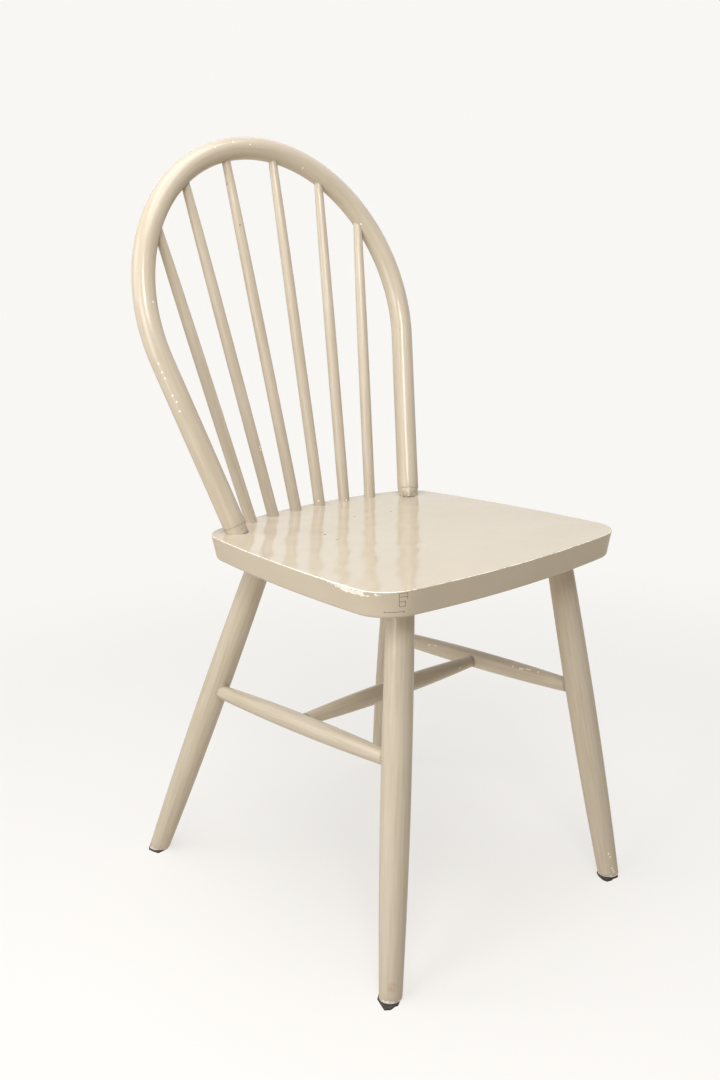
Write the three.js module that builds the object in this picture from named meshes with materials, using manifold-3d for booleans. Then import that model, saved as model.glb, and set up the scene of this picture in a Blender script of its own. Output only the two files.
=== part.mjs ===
// Bow-back dining chair in painted wood: a solid seat, a bent bow with six spindles,
// four splayed legs tied by an H of three stretchers, and a felt pad under each foot.
// Millimetres, +Z up, floor at z = 0. The sitter faces -Y, so the sitter's right is -X.
import * as THREE from 'three';
import { mergeVertices } from 'three/addons/utils/BufferGeometryUtils.js';
import Module from 'manifold-3d';

const wasm = await Module();
wasm.setup();

// ---- Driving dimensions ----

const clearance = 0.3; // air kept between pieces that touch or fit together
const weldTolerance = 1e-4; // corners nearer than this count as one

const seat = {
  height: 450, // floor to the top face
  thickness: 29,
  frontWidth: 373, // between the sharp front corners, before rounding
  rearWidth: 336, // between the sharp rear corners
  depth: 337, // between the front and rear chords
  frontRise: 17, // how far the front edge swells beyond its chord
  sideRise: 8.3,
  rearRise: 33,
  frontCorner: 45, // corner radii in plan
  rearCorner: 42,
  undercut: 4.5, // the underside is this much smaller all round
  topRound: 2,
  bottomRound: 3,
};

const bow = {
  radius: 13.75,
  footX: 137.5, // centre of each foot from the middle
  edgeInset: 33, // centre of each foot in from the seat's rear edge
  height: 466.5, // seat to crown centre line, measured along its slope
  halfWidth: 193, // widest half width, to the centre line
  crownHeight: 205, // from the widest level up to the crown
  rake: 16.8, // degrees it leans back
  collar: 8, // slimmer stretch just above the seat
  tenonRadius: 12.9,
  seatWeb: 9, // wood left in the seat beyond the blind tenon
};

const spindle = {
  count: 6,
  radius: 7.3,
  topRadius: 5.2,
  footSpacing: 38.4, // across the seat, centre to centre
  edgeInset: 13.6, // centres in from the seat's rear edge
  topStep: 21.5, // degrees between neighbours round the bow's crown ellipse
  taperPower: 4, // the slimming grows with this power of the way up, so it is mostly near the top
  seatWeb: 13,
  bowDepth: 10, // into the bow, from its inner face
};

const leg = {
  footRadius: 12.6,
  bellyRadius: 16.3,
  neckRadius: 14.4, // where it meets the underside of the seat
  bellyHeight: 235,
  tenonRadius: 12.5, // at the blind end of its taper
  seatWeb: 9,
};

// Where each leg meets the seat, in from the sharp seat corner, and how far its foot stands
// outward of that point.
const frontLeg = { insetX: 63.5, insetY: 42.5, splayX: 60.5, splayY: 37.5 };
const rearLeg = { insetX: 58, insetY: 34.5, splayX: 87.5, splayY: 155.5 };

const sideStretcher = {
  bellyRadius: 11.5,
  endRadius: 8.4,
  frontHeight: 254, // of its centre line on the front leg's axis
  rearHeight: 237.5,
  tenonDepth: 13, // into the leg
};

const crossStretcher = {
  bellyRadius: 11.2,
  endRadius: 7.2,
  station: 0.5, // how far along the side stretchers it joins them
  tenonDepth: 8, // into the side stretcher
};

const pad = { thickness: 3, width: 27, clippedCorner: 4.5 };
const padTurns = { front_right: 0.5, front_left: 0.2, rear_right: 1.17, rear_left: 0.4 }; // radians

// ---- Mesh fineness ----

const turnedSides = 18;
const profileSteps = 8;
const bowSteps = 60;
const edgeSteps = 8;
const cornerSteps = 6;
const roundSteps = 2;

// ---- Finishes ----

const paint = { color: 0xcdbca5, roughness: 0.38, metalness: 0 };
const felt = { color: 0x2b2119, roughness: 0.95, metalness: 0 };

const up = new THREE.Vector3(0, 0, 1);
const mirrorSides = { right: -1, left: 1 };

// ---- Solids ----

function namedMesh(name, geometry, finish) {
  const mesh = new THREE.Mesh(geometry, new THREE.MeshStandardMaterial(finish));
  mesh.name = name;
  return mesh;
}

function toManifold(geometry) {
  const bare = geometry.clone();
  bare.deleteAttribute('normal');
  bare.deleteAttribute('uv');
  const merged = mergeVertices(bare, weldTolerance);
  const mesh = new wasm.Mesh({
    numProp: 3,
    vertProperties: new Float32Array(merged.attributes.position.array),
    triVerts: new Uint32Array(merged.index.array),
  });
  return new wasm.Manifold(mesh);
}

function toGeometry(solid) {
  const mesh = solid.getMesh();
  const geometry = new THREE.BufferGeometry();
  geometry.setAttribute('position', new THREE.BufferAttribute(mesh.vertProperties, 3));
  geometry.setIndex(new THREE.BufferAttribute(mesh.triVerts, 1));
  geometry.computeVertexNormals();
  return geometry;
}

// A tool's geometry as the target mesh sees it.
function asSeenBy(target, tool) {
  target.updateMatrixWorld();
  tool.updateMatrixWorld();
  const matrix = target.matrixWorld.clone().invert().multiply(tool.matrixWorld);
  return toManifold(tool.geometry.clone().applyMatrix4(matrix));
}

function carve(target, cutters) {
  let solid = toManifold(target.geometry);
  for (const cutter of cutters) solid = solid.subtract(asSeenBy(target, cutter));
  target.geometry = toGeometry(solid);
}

function weld(target, additions) {
  let solid = toManifold(target.geometry);
  for (const addition of additions) solid = solid.add(asSeenBy(target, addition));
  target.geometry = toGeometry(solid);
}

// A turned solid along +Z whose radius is radiusAt(z) between the two heights.
function turned(radiusAt, low, high, grow) {
  const points = [new THREE.Vector2(0, low - grow)];
  for (let step = 0; step <= profileSteps; step += 1) {
    const z = THREE.MathUtils.lerp(low - grow, high + grow, step / profileSteps);
    points.push(new THREE.Vector2(radiusAt(z) + grow, z));
  }
  points.push(new THREE.Vector2(0, high + grow));
  return new THREE.LatheGeometry(points, turnedSides).rotateX(Math.PI / 2);
}

// Stands a mesh modelled along +Z at a point, pointing at another.
function aim(mesh, from, towards) {
  const direction = towards.clone().sub(from).normalize();
  mesh.position.copy(from);
  mesh.quaternion.setFromUnitVectors(up, direction);
  return mesh;
}

// ---- Seat ----

// The circle through both ends of a chord that rises beyond it on the right-hand side.
function edgeArc(from, to, rise) {
  const half = from.distanceTo(to) / 2;
  const radius = (half * half + rise * rise) / (2 * rise);
  const along = to.clone().sub(from).normalize();
  const outward = new THREE.Vector2(along.y, -along.x);
  const centre = from.clone().add(to).multiplyScalar(0.5).addScaledVector(outward, rise - radius);
  return { centre, radius };
}

// The corner circle that touches both edge circles from inside.
function cornerArc(before, after, radius, corner) {
  const reachBefore = before.radius - radius;
  const reachAfter = after.radius - radius;
  const base = after.centre.clone().sub(before.centre);
  const span = base.length();
  base.normalize();
  const along = (span * span + reachBefore * reachBefore - reachAfter * reachAfter) / (2 * span);
  const across = Math.sqrt(reachBefore * reachBefore - along * along);
  const side = new THREE.Vector2(-base.y, base.x);
  const foot = before.centre.clone().addScaledVector(base, along);
  const choices = [1, -1].map((sign) => foot.clone().addScaledVector(side, sign * across));
  choices.sort((p, q) => p.distanceTo(corner) - q.distanceTo(corner));
  return { centre: choices[0], radius };
}

// Edge and corner circles in turn, counterclockwise from the front edge.
function seatArcs() {
  const front = -seat.depth / 2;
  const rear = seat.depth / 2;
  const corners = [
    new THREE.Vector2(-seat.frontWidth / 2, front),
    new THREE.Vector2(seat.frontWidth / 2, front),
    new THREE.Vector2(seat.rearWidth / 2, rear),
    new THREE.Vector2(-seat.rearWidth / 2, rear),
  ];
  const rises = [seat.frontRise, seat.sideRise, seat.rearRise, seat.sideRise];
  const radii = [seat.frontCorner, seat.rearCorner, seat.rearCorner, seat.frontCorner];
  const edges = rises.map((rise, k) => edgeArc(corners[k], corners[(k + 1) % 4], rise));
  return edges.flatMap((edge, k) => {
    const next = edges[(k + 1) % 4];
    return [edge, cornerArc(edge, next, radii[k], corners[(k + 1) % 4])];
  });
}

const arcs = seatArcs();
const rearEdge = arcs[arcs.length / 2]; // halfway round from the front edge

function angleOf(from, to) {
  return Math.atan2(to.y - from.y, to.x - from.x);
}

// Seat outline drawn in by inset: each arc keeps its centre and loses that much radius.
function seatOutline(inset) {
  const points = [];
  arcs.forEach((arc, k) => {
    const isEdge = k % 2 === 0;
    const before = arcs[(k + arcs.length - 1) % arcs.length].centre;
    const after = arcs[(k + 1) % arcs.length].centre;
    const start = isEdge ? angleOf(arc.centre, before) : angleOf(before, arc.centre);
    const end = isEdge ? angleOf(arc.centre, after) : angleOf(after, arc.centre);
    const turn = THREE.MathUtils.euclideanModulo(end - start, 2 * Math.PI);
    const steps = isEdge ? edgeSteps : cornerSteps;
    for (let step = 0; step < steps; step += 1) {
      const angle = start + (turn * step) / steps;
      const reach = arc.radius - inset;
      points.push(new THREE.Vector2(
        arc.centre.x + reach * Math.cos(angle),
        arc.centre.y + reach * Math.sin(angle),
      ));
    }
  });
  return points;
}

// Inset and height of the seat's edge, from the underside up to the top face.
function seatEdgeProfile() {
  const levels = [];
  for (let step = 0; step <= roundSteps; step += 1) {
    const angle = (Math.PI / 2) * (step / roundSteps);
    const inset = seat.undercut + seat.bottomRound * (1 - Math.sin(angle));
    levels.push([inset, seat.bottomRound * (1 - Math.cos(angle))]);
  }
  for (let step = 0; step <= roundSteps; step += 1) {
    const angle = (Math.PI / 2) * (step / roundSteps);
    const height = seat.thickness - seat.topRound * (1 - Math.sin(angle));
    levels.push([seat.topRound * (1 - Math.cos(angle)), height]);
  }
  return levels;
}

// Closed body through outlines of equal length, one per level.
function loft(levels) {
  const rings = levels.map(([inset]) => seatOutline(inset));
  const size = rings[0].length;
  const positions = [];
  const index = [];
  rings.forEach((ring, k) => ring.forEach((p) => positions.push(p.x, p.y, levels[k][1])));
  for (let k = 0; k + 1 < rings.length; k += 1) {
    for (let j = 0; j < size; j += 1) {
      const a = k * size + j;
      const b = k * size + ((j + 1) % size);
      index.push(a, b, b + size, a, b + size, a + size);
    }
  }
  const last = (rings.length - 1) * size;
  THREE.ShapeUtils.triangulateShape(rings[0], []).forEach(([a, b, c]) => index.push(a, c, b));
  THREE.ShapeUtils.triangulateShape(rings.at(-1), []).forEach(([a, b, c]) => {
    index.push(last + a, last + b, last + c);
  });
  const geometry = new THREE.BufferGeometry();
  geometry.setAttribute('position', new THREE.Float32BufferAttribute(positions, 3));
  geometry.setIndex(index);
  geometry.computeVertexNormals();
  return geometry;
}

const undersideHeight = seat.height - seat.thickness;

// How far each blind tenon reaches into the seat.
const tenonDepth = {
  bow: seat.thickness - bow.seatWeb,
  spindle: seat.thickness - spindle.seatWeb,
  leg: seat.thickness - leg.seatWeb,
};

function makeSeat() {
  const mesh = namedMesh('seat', loft(seatEdgeProfile()), paint);
  mesh.position.z = undersideHeight;
  return mesh;
}

// Y of the seat's rear edge at a distance x from the middle.
function rearEdgeY(x) {
  const { centre, radius } = rearEdge;
  return centre.y + Math.sqrt(radius * radius - x * x);
}

// ---- Bow ----

const rake = THREE.MathUtils.degToRad(bow.rake);
const bowFootY = rearEdgeY(bow.footX) - bow.edgeInset;
const widestLevel = bow.height - bow.crownHeight;

// A point of the bow's own leaning plane, u across and v up the slope from the seat.
function onBowPlane(u, v) {
  return new THREE.Vector3(u, bowFootY + v * Math.sin(rake), seat.height + v * Math.cos(rake));
}

// Centre line of the crown, an ellipse, at an angle counted from its widest point on +X.
function crownPoint(angle) {
  return onBowPlane(bow.halfWidth * Math.cos(angle), widestLevel + bow.crownHeight * Math.sin(angle));
}

class CrownCurve extends THREE.Curve {
  constructor(start, end) {
    super();
    this.start = start;
    this.end = end;
  }

  getPoint(t, target = new THREE.Vector3()) {
    return target.copy(crownPoint(THREE.MathUtils.lerp(this.start, this.end, t)));
  }
}

// Angle at which the straight limb runs into the crown ellipse without a kink.
function limbTangentAngle() {
  const across = bow.footX / bow.halfWidth;
  const below = widestLevel / bow.crownHeight;
  return Math.acos(1 / Math.hypot(across, below)) - Math.atan2(below, across);
}

function makeBow() {
  const tangent = limbTangentAngle();
  const feet = [1, -1].map((side) => onBowPlane(side * bow.footX, 0));
  const joins = [crownPoint(tangent), crownPoint(Math.PI - tangent)];
  const shoulders = feet.map((foot, k) => {
    const limb = joins[k].clone().sub(foot).normalize();
    return foot.clone().addScaledVector(limb, bow.collar);
  });
  const path = new THREE.CurvePath();
  path.add(new THREE.LineCurve3(shoulders[0], joins[0]));
  path.add(new CrownCurve(tangent, Math.PI - tangent));
  path.add(new THREE.LineCurve3(joins[1], shoulders[1]));
  const section = new THREE.Shape().absarc(0, 0, bow.radius, 0, 2 * Math.PI);
  const options = { steps: bowSteps, curveSegments: turnedSides / 2, extrudePath: path };
  const mesh = namedMesh('bow', new THREE.ExtrudeGeometry(section, options), paint);
  const tenons = feet.map((foot, k) => makeBowTenon(foot, joins[k], 0));
  weld(mesh, tenons);
  return { mesh, feet, joins };
}

// The slimmer end of a limb: its collar above the seat and its tenon inside it.
function makeBowTenon(foot, join, grow) {
  const overlap = 5; // buried in the limb so that the two weld
  const radiusAt = () => bow.tenonRadius;
  const geometry = turned(radiusAt, -tenonDepth.bow, bow.collar + overlap, grow);
  return aim(new THREE.Mesh(geometry), foot, join);
}

// ---- Spindles ----

function spindleEnds(k) {
  const place = k - (spindle.count - 1) / 2;
  const x = place * spindle.footSpacing;
  const reach = rearEdge.radius - spindle.edgeInset;
  const y = rearEdge.centre.y + Math.sqrt(reach * reach - x * x);
  const foot = new THREE.Vector3(x, y, seat.height);
  const angle = Math.PI / 2 - THREE.MathUtils.degToRad(place * spindle.topStep);
  return { foot, top: crownPoint(angle) };
}

function makeSpindle(k, grow) {
  const { foot, top } = spindleEnds(k);
  const length = foot.distanceTo(top);
  const end = length - (bow.radius - spindle.bowDepth);
  const slimming = spindle.radius - spindle.topRadius;
  const radiusAt = (z) => spindle.radius - slimming * Math.max(z / length, 0) ** spindle.taperPower;
  const geometry = turned(radiusAt, -tenonDepth.spindle, end, grow);
  return aim(namedMesh(`spindle_${k + 1}`, geometry, paint), foot, top);
}

// ---- Legs ----

function legAxis(sizes, endSign, width, side) {
  const topX = width / 2 - sizes.insetX;
  const topY = seat.depth / 2 - sizes.insetY;
  const top = new THREE.Vector3(side * topX, endSign * topY, undersideHeight);
  const foot = new THREE.Vector3(side * (topX + sizes.splayX), endSign * (topY + sizes.splayY), 0);
  return { top, foot };
}

const legAxes = {};
for (const [hand, side] of Object.entries(mirrorSides)) {
  legAxes[`front_${hand}`] = legAxis(frontLeg, -1, seat.frontWidth, side);
  legAxes[`rear_${hand}`] = legAxis(rearLeg, 1, seat.rearWidth, side);
}

// Radius at a distance along the leg: a barrel swelling to its belly, then a tapered tenon.
function legRadius(distance, length, stretch) {
  const belly = leg.bellyHeight * stretch;
  if (distance > length) {
    const into = (distance - length) / tenonDepth.leg;
    return THREE.MathUtils.lerp(leg.neckRadius, leg.tenonRadius, into);
  }
  const below = distance < belly;
  const away = below ? (belly - distance) / belly : (distance - belly) / (length - belly);
  const slimmest = below ? leg.footRadius : leg.neckRadius;
  return leg.bellyRadius - (leg.bellyRadius - slimmest) * away * away;
}

function makeLeg(name, { top, foot }, grow) {
  const length = foot.distanceTo(top);
  const stretch = length / undersideHeight;
  const runOut = leg.footRadius; // carried on below the floor, then cut level
  const radiusAt = (distance) => legRadius(distance, length, stretch);
  const geometry = turned(radiusAt, -runOut, length + tenonDepth.leg, grow);
  return aim(namedMesh(`leg_${name}`, geometry, paint), foot, top);
}

// Everything under the foot's level sawn end, as a block to cut away.
function makeFloorBlock(foot) {
  const width = 4 * leg.bellyRadius;
  const block = new THREE.Mesh(new THREE.BoxGeometry(width, width, width));
  block.position.set(foot.x, foot.y, pad.thickness + clearance - width / 2);
  return block;
}

function legPointAt({ top, foot }, height) {
  return foot.clone().lerp(top, height / undersideHeight);
}

// ---- Stretchers ----

// A stretcher between two points on its neighbours' axes, let into each by its tenon depth.
function makeStretcher(name, sizes, from, to, hostRadius, grow) {
  const span = from.distanceTo(to);
  const trim = hostRadius - sizes.tenonDepth;
  const slimming = sizes.bellyRadius - sizes.endRadius;
  const free = span / 2 - hostRadius;
  const radiusAt = (z) => {
    const away = Math.min(Math.abs(z - span / 2) / free, 1);
    return sizes.bellyRadius - slimming * away * away;
  };
  const geometry = turned(radiusAt, trim, span - trim, grow);
  return aim(namedMesh(name, geometry, paint), from, to);
}

function sideStretcherEnds(hand) {
  return [
    legPointAt(legAxes[`front_${hand}`], sideStretcher.frontHeight),
    legPointAt(legAxes[`rear_${hand}`], sideStretcher.rearHeight),
  ];
}

function makeSideStretcher(hand, grow) {
  const [front, rear] = sideStretcherEnds(hand);
  const name = `side_stretcher_${hand}`;
  return makeStretcher(name, sideStretcher, front, rear, leg.bellyRadius, grow);
}

function makeCrossStretcher(grow) {
  const [from, to] = Object.keys(mirrorSides).map((hand) => {
    const [front, rear] = sideStretcherEnds(hand);
    return front.lerp(rear, crossStretcher.station);
  });
  return makeStretcher('cross_stretcher', crossStretcher, from, to, sideStretcher.bellyRadius, grow);
}

// ---- Felt pads ----

// A hand-cut square of felt with snipped corners.
function makePad(name, foot, turn) {
  const half = pad.width / 2;
  const cut = half - pad.clippedCorner;
  const outline = [
    [half, cut], [cut, half], [-cut, half], [-half, cut],
    [-half, -cut], [-cut, -half], [cut, -half], [half, -cut],
  ].map(([x, y]) => new THREE.Vector2(x, y));
  const options = { depth: pad.thickness, bevelEnabled: false };
  const mesh = namedMesh(`pad_${name}`, new THREE.ExtrudeGeometry(new THREE.Shape(outline), options), felt);
  mesh.position.set(foot.x, foot.y, 0);
  mesh.rotation.z = turn;
  return mesh;
}

// ---- Assembly ----

const chair = new THREE.Group();

const seatMesh = makeSeat();
const { mesh: bowMesh, feet: bowFeet, joins: bowJoins } = makeBow();
chair.add(seatMesh, bowMesh);

const seatSockets = bowFeet.map((foot, k) => makeBowTenon(foot, bowJoins[k], clearance));
const bowSockets = [];
for (let k = 0; k < spindle.count; k += 1) {
  chair.add(makeSpindle(k, 0));
  const socket = makeSpindle(k, clearance);
  seatSockets.push(socket);
  bowSockets.push(socket);
}

for (const [name, axis] of Object.entries(legAxes)) {
  const hand = name.split('_')[1];
  const mesh = makeLeg(name, axis, 0);
  carve(mesh, [makeFloorBlock(axis.foot), makeSideStretcher(hand, clearance)]);
  const padPoint = legPointAt(axis, pad.thickness);
  chair.add(mesh, makePad(name, padPoint, padTurns[name]));
  seatSockets.push(makeLeg(name, axis, clearance));
}

for (const hand of Object.keys(mirrorSides)) {
  const mesh = makeSideStretcher(hand, 0);
  carve(mesh, [makeCrossStretcher(clearance)]);
  chair.add(mesh);
}
chair.add(makeCrossStretcher(0));

carve(seatMesh, seatSockets);
carve(bowMesh, bowSockets);

// The origin is on the floor under the middle of the chair's bounding box.
const extent = new THREE.Box3().setFromObject(chair, true);
chair.position.y = -(extent.min.y + extent.max.y) / 2;

export default chair;
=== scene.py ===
import math
import bpy
import numpy as np
from mathutils import Matrix, Vector


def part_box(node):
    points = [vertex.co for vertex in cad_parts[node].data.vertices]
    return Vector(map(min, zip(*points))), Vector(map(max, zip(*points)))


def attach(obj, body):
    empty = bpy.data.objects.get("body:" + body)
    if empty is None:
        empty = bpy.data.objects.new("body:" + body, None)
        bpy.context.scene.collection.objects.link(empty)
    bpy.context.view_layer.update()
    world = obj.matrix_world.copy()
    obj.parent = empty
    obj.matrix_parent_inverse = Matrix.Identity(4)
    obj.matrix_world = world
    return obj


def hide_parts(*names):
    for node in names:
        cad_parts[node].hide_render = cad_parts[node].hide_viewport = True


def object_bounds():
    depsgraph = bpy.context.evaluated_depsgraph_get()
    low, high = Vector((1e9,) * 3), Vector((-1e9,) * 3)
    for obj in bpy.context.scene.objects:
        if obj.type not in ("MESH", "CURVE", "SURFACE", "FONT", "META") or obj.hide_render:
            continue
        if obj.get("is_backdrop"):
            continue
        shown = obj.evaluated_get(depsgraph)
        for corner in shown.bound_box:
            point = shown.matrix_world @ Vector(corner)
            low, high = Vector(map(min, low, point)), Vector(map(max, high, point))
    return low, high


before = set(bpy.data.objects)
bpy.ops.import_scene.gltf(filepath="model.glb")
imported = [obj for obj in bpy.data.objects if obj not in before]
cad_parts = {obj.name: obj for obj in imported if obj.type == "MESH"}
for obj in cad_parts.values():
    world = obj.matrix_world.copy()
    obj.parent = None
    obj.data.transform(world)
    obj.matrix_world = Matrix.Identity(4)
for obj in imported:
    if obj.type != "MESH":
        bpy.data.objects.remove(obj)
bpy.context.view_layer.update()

hair = 1e-5  # points nearer than this to a level count as on it


def clearSelection():
    if bpy.context.object and bpy.context.object.mode != "OBJECT":
        bpy.ops.object.mode_set(mode="OBJECT")
    bpy.ops.object.select_all(action="DESELECT")


def workOn(piece):
    clearSelection()
    piece.select_set(True)
    bpy.context.view_layer.objects.active = piece


def pick(piece, kind, test):
    # selects the faces whose middle and normal pass the test, or the edges whose two ends do
    workOn(piece)
    mesh = piece.data
    for group in (mesh.vertices, mesh.edges, mesh.polygons):
        group.foreach_set("select", [False] * len(group))
    if kind == "FACE":
        for face in mesh.polygons:
            face.select = test(face.center, face.normal)
    else:
        for edge in mesh.edges:
            edge.select = all(test(mesh.vertices[v].co) for v in edge.vertices)
    bpy.context.tool_settings.mesh_select_mode = (False, kind == "EDGE", kind == "FACE")
    bpy.ops.object.mode_set(mode="EDIT")


def coordinates(piece):
    spots = np.empty(len(piece.data.vertices) * 3)
    piece.data.vertices.foreach_get("co", spots)
    return spots.reshape(-1, 3)


def storeSpots(piece, name, spots):
    # a vector on every vertex that the finishes read
    layer = piece.data.attributes.get(name) or piece.data.attributes.new(name, "FLOAT_VECTOR", "POINT")
    layer.data.foreach_set("vector", np.asarray(spots, dtype=np.float32).ravel())


def storeAmount(piece, name, amounts):
    layer = piece.data.attributes.get(name) or piece.data.attributes.new(name, "FLOAT", "POINT")
    layer.data.foreach_set("value", np.asarray(amounts, dtype=np.float32))


def applyPlace(piece):
    workOn(piece)
    bpy.ops.object.transform_apply(location=True, rotation=True, scale=True)


def closeUp(piece, angle=35):
    # normals outwards, smooth shading with the true corners kept crisp
    workOn(piece)
    bpy.ops.object.mode_set(mode="EDIT")
    bpy.ops.mesh.select_all(action="SELECT")
    bpy.ops.mesh.normals_make_consistent(inside=False)
    bpy.ops.object.mode_set(mode="OBJECT")
    bpy.ops.object.shade_smooth_by_angle(angle=math.radians(angle))


def copyOf(piece, name):
    twin = piece.copy()
    twin.data = piece.data.copy()
    twin.name = name
    bpy.context.scene.collection.objects.link(twin)
    return twin


def remove(piece):
    bpy.data.objects.remove(piece)


def axisEnds(node, endSlice=0.002):
    # centres of a turned CAD node's two ends, lower or more negative one first
    spots = np.array([v.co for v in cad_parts[node].data.vertices])
    spots = np.unique(np.round(spots, 6), axis=0)
    middle = spots.mean(0)
    axis = np.linalg.svd(spots - middle)[2][0]
    axis = axis * np.sign(axis[np.argmax(np.abs(axis))])
    for attempt in range(3):
        run = (spots - middle) @ axis
        ends = [spots[run < run.min() + endSlice].mean(0), spots[run > run.max() - endSlice].mean(0)]
        axis = (ends[1] - ends[0]) / np.linalg.norm(ends[1] - ends[0])
    return Vector(ends[0]), Vector(ends[1])


def boxCentre(node):
    low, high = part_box(node)
    return (low + high) / 2


def turnRod(name, profile, sides):
    # a rod turned along +Z from (height, radius) steps, closed at both ends
    clearSelection()
    low, radius = profile[0]
    bpy.ops.mesh.primitive_circle_add(vertices=sides, radius=radius, fill_type="NGON",
                                      location=(0, 0, low))
    rod = bpy.context.object
    rod.name = name
    applyPlace(rod)
    bpy.ops.object.mode_set(mode="EDIT")
    bpy.ops.mesh.select_all(action="SELECT")
    for height, size in profile[1:]:
        bpy.ops.mesh.extrude_region_move(TRANSFORM_OT_translate={"value": (0, 0, height - low)})
        ratio = size / radius
        bpy.ops.transform.resize(value=(ratio, ratio, 1), center_override=(0, 0, height))
        low, radius = height, size
    closeUp(rod)
    return rod


def standBetween(piece, low, high, length):
    # a rod modelled from 0 to length along +Z is stretched and set between two points
    run = high - low
    piece.rotation_mode = "QUATERNION"
    piece.rotation_quaternion = Vector((0, 0, 1)).rotation_difference(run)
    piece.scale = (1, 1, run.length / length)
    piece.location = low
    applyPlace(piece)


brushStride = np.array([0.31, 0.17, 0.9])  # from one piece's brush marks to the next one's


def brushAlong(piece, number):
    # each piece gets its own stretch of brush marks
    storeSpots(piece, "brush", coordinates(piece) + brushStride * number)


def keep(piece, node, finish):
    piece.data.materials.clear()
    piece.data.materials.append(finish)
    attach(piece, "root")
    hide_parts(node)


class Shade:
    # a node's output that ordinary sums work on
    def __init__(self, finish, socket):
        self.finish = finish
        self.socket = socket

    def of(self, output):
        return Shade(self.finish, self.socket.node.outputs[output])

    def sum(self, operation, first, second):
        return self.finish.node("ShaderNodeMath", {"operation": operation}, {0: first, 1: second})

    def __add__(self, other):
        return self.sum("ADD", self, other)

    def __radd__(self, other):
        return self.sum("ADD", other, self)

    def __sub__(self, other):
        return self.sum("SUBTRACT", self, other)

    def __mul__(self, other):
        return self.sum("MULTIPLY", self, other)

    def __gt__(self, other):
        return self.sum("GREATER_THAN", self, other)

    def __lt__(self, other):
        return self.sum("LESS_THAN", self, other)

    def __abs__(self):
        return self.finish.node("ShaderNodeMath", {"operation": "ABSOLUTE"}, {0: self})

    def orElse(self, other):
        return self.sum("MAXIMUM", self, other)


class Finish:
    # a node tree with short ways to add to it
    def __init__(self, tree):
        self.tree = tree
        self.tree.nodes.clear()

    def node(self, kind, settings={}, sockets={}, output=0):
        made = self.tree.nodes.new(kind)
        for key, value in settings.items():
            setattr(made, key, value)
        for key, value in sockets.items():
            if isinstance(value, Shade):
                self.tree.links.new(value.socket, made.inputs[key])
            else:
                made.inputs[key].default_value = value
        return Shade(self, made.outputs[output]) if made.outputs else None

    def spread(self, vector, amounts):
        return self.node("ShaderNodeVectorMath", {"operation": "MULTIPLY"}, {0: vector, 1: amounts})

    def noise(self, vector, scale, detail=2.0, roughness=0.5):
        sockets = {"Vector": vector, "Scale": scale, "Detail": detail, "Roughness": roughness}
        return self.node("ShaderNodeTexNoise", {}, sockets)

    def cells(self, vector, scale):
        return self.node("ShaderNodeTexVoronoi", {}, {"Vector": vector, "Scale": scale})

    def ease(self, value, low, high, start=0.0, end=1.0):
        # a soft step from start to end as the value goes from low to high
        sockets = {"Value": value, "From Min": low, "From Max": high, "To Min": start, "To Max": end}
        return self.node("ShaderNodeMapRange", {"interpolation_type": "SMOOTHSTEP"}, sockets)

    def mix(self, amount, first, second):
        settings = {"data_type": "RGBA", "clamp_factor": True}
        return self.node("ShaderNodeMix", settings, {0: amount, 6: first, 7: second}, 2)

    def parts(self, vector):
        split = self.node("ShaderNodeSeparateXYZ", {}, {0: vector})
        return split, split.of(1), split.of(2)

    def dab(self, place, spot, inner, outer):
        # a small round mark at a point
        settings = {"operation": "DISTANCE"}
        away = self.node("ShaderNodeVectorMath", settings, {0: place, 1: spot}).of("Value")
        return self.ease(away, inner, outer, 1, 0)

    def dent(self, height, depth, onto=None):
        sockets = {"Height": height, "Distance": depth, "Strength": 1.0}
        if onto:
            sockets["Normal"] = onto
        return self.node("ShaderNodeBump", {}, sockets)


def tone(code):
    # a colour as written on a paint chart, made linear
    def linear(part):
        return part / 12.92 if part <= 0.04045 else ((part + 0.055) / 1.055) ** 2.4

    return tuple(linear(int(code[k:k + 2], 16) / 255) for k in (0, 2, 4)) + (1.0,)


paint = {
    "coat": tone("cbbfac"),
    "deep": tone("c1b39d"),
    # pale primer for chips and wear, also a painted highlight along the seat's top edge
    "primerAndHighlight": tone("f6efe2"),
    # dark brown for grime and painted shade where parts meet, also for the comb hairlines and dark specks
    "grime_and_shade": tone("5a4a38"),
    "stain": tone("a5784c"),
    "gloss": 0.22,  # roughness of the satin top coat
    "shine": 1.48,  # index of refraction
    "middleTone": 0.47,  # where the noise halves the two tones
    "peel": 0.04,  # how much the orange peel varies the gloss
    "chipDulls": 0.3,
    "peelDepth": 0.00005,
    "fleck": (0.0009, 0.0014),  # radius of a fleck's middle and of its rim
    "knock": (0.025, 0.04),  # the same for a knock, as shares of its cell
    "speck": (0.02, 0.032),
    "speckScale": 52,
    "stainReach": (0.0010, 0.0065),
    "stainStrength": 0.55,
    # how far grime and painted shade darken the paint where parts meet
    "grimeAndShadeStrength": 0.75,
    "speckStrength": 0.8,
    "lineStrength": 0.6,
}


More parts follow.
